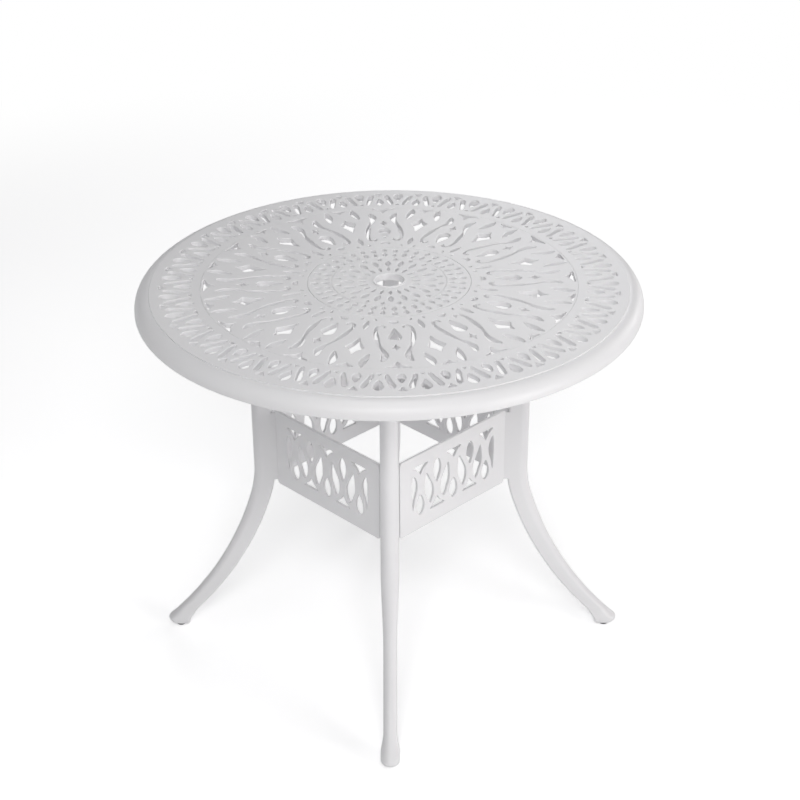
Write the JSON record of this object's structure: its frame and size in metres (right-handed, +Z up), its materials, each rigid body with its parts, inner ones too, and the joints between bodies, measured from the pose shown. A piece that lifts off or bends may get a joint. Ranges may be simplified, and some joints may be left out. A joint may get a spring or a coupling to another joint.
{
  "type": "umbrella table",
  "caption": "Round cast umbrella table: pierced top with a rolled rim and pole collar, curved legs tied by pierced aprons, screw-in levelling glides.",
  "frame": {"origin": "on the floor under the middle of the table, with the glides screwed fully in", "axes": "+Z up along the umbrella pole's line; X and Y square to the apron panels, so the four legs stand on the diagonals and -Y is the front"},
  "size_m": [0.9, 0.9, 0.747],
  "materials": {
    "cast_white": "satin white powder coat on cast aluminium",
    "zinc_steel": "bright zinc plate",
    "black_nylon": "matt black moulded nylon"
  },
  "bodies": {
    "table": {"tabletop": "cast_white", "leg_front_right": "cast_white", "head_bolt_front_right_1": "zinc_steel", "head_bolt_front_right_2": "zinc_steel", "leg_back_right": "cast_white", "head_bolt_back_right_1": "zinc_steel", "head_bolt_back_right_2": "zinc_steel", "leg_back_left": "cast_white", "head_bolt_back_left_1": "zinc_steel", "head_bolt_back_left_2": "zinc_steel", "leg_front_left": "cast_white", "head_bolt_front_left_1": "zinc_steel", "head_bolt_front_left_2": "zinc_steel", "apron_front": "cast_white", "washer_front_1": "zinc_steel", "apron_bolt_front_1": "zinc_steel", "washer_front_2": "zinc_steel", "apron_bolt_front_2": "zinc_steel", "washer_front_3": "zinc_steel", "apron_bolt_front_3": "zinc_steel", "washer_front_4": "zinc_steel", "apron_bolt_front_4": "zinc_steel", "apron_right": "cast_white", "washer_right_1": "zinc_steel", "apron_bolt_right_1": "zinc_steel", "washer_right_2": "zinc_steel", "apron_bolt_right_2": "zinc_steel", "washer_right_3": "zinc_steel", "apron_bolt_right_3": "zinc_steel", "washer_right_4": "zinc_steel", "apron_bolt_right_4": "zinc_steel", "apron_back": "cast_white", "washer_back_1": "zinc_steel", "apron_bolt_back_1": "zinc_steel", "washer_back_2": "zinc_steel", "apron_bolt_back_2": "zinc_steel", "washer_back_3": "zinc_steel", "apron_bolt_back_3": "zinc_steel", "washer_back_4": "zinc_steel", "apron_bolt_back_4": "zinc_steel", "apron_left": "cast_white", "washer_left_1": "zinc_steel", "apron_bolt_left_1": "zinc_steel", "washer_left_2": "zinc_steel", "apron_bolt_left_2": "zinc_steel", "washer_left_3": "zinc_steel", "apron_bolt_left_3": "zinc_steel", "washer_left_4": "zinc_steel", "apron_bolt_left_4": "zinc_steel"},
    "foot_front_right": {"glide_front_right": "black_nylon"},
    "foot_back_right": {"glide_back_right": "black_nylon"},
    "foot_back_left": {"glide_back_left": "black_nylon"},
    "foot_front_left": {"glide_front_left": "black_nylon"}
  },
  "joints": [
    {"name": "level_front_right", "type": "slide", "parent": "table", "child": "foot_front_right", "axis": [0, 0, -1], "range_m": [0, 0.01]},
    {"name": "level_back_right", "type": "slide", "parent": "table", "child": "foot_back_right", "axis": [0, 0, -1], "range_m": [0, 0.01]},
    {"name": "level_back_left", "type": "slide", "parent": "table", "child": "foot_back_left", "axis": [0, 0, -1], "range_m": [0, 0.01]},
    {"name": "level_front_left", "type": "slide", "parent": "table", "child": "foot_front_left", "axis": [0, 0, -1], "range_m": [0, 0.01]}
  ]
}
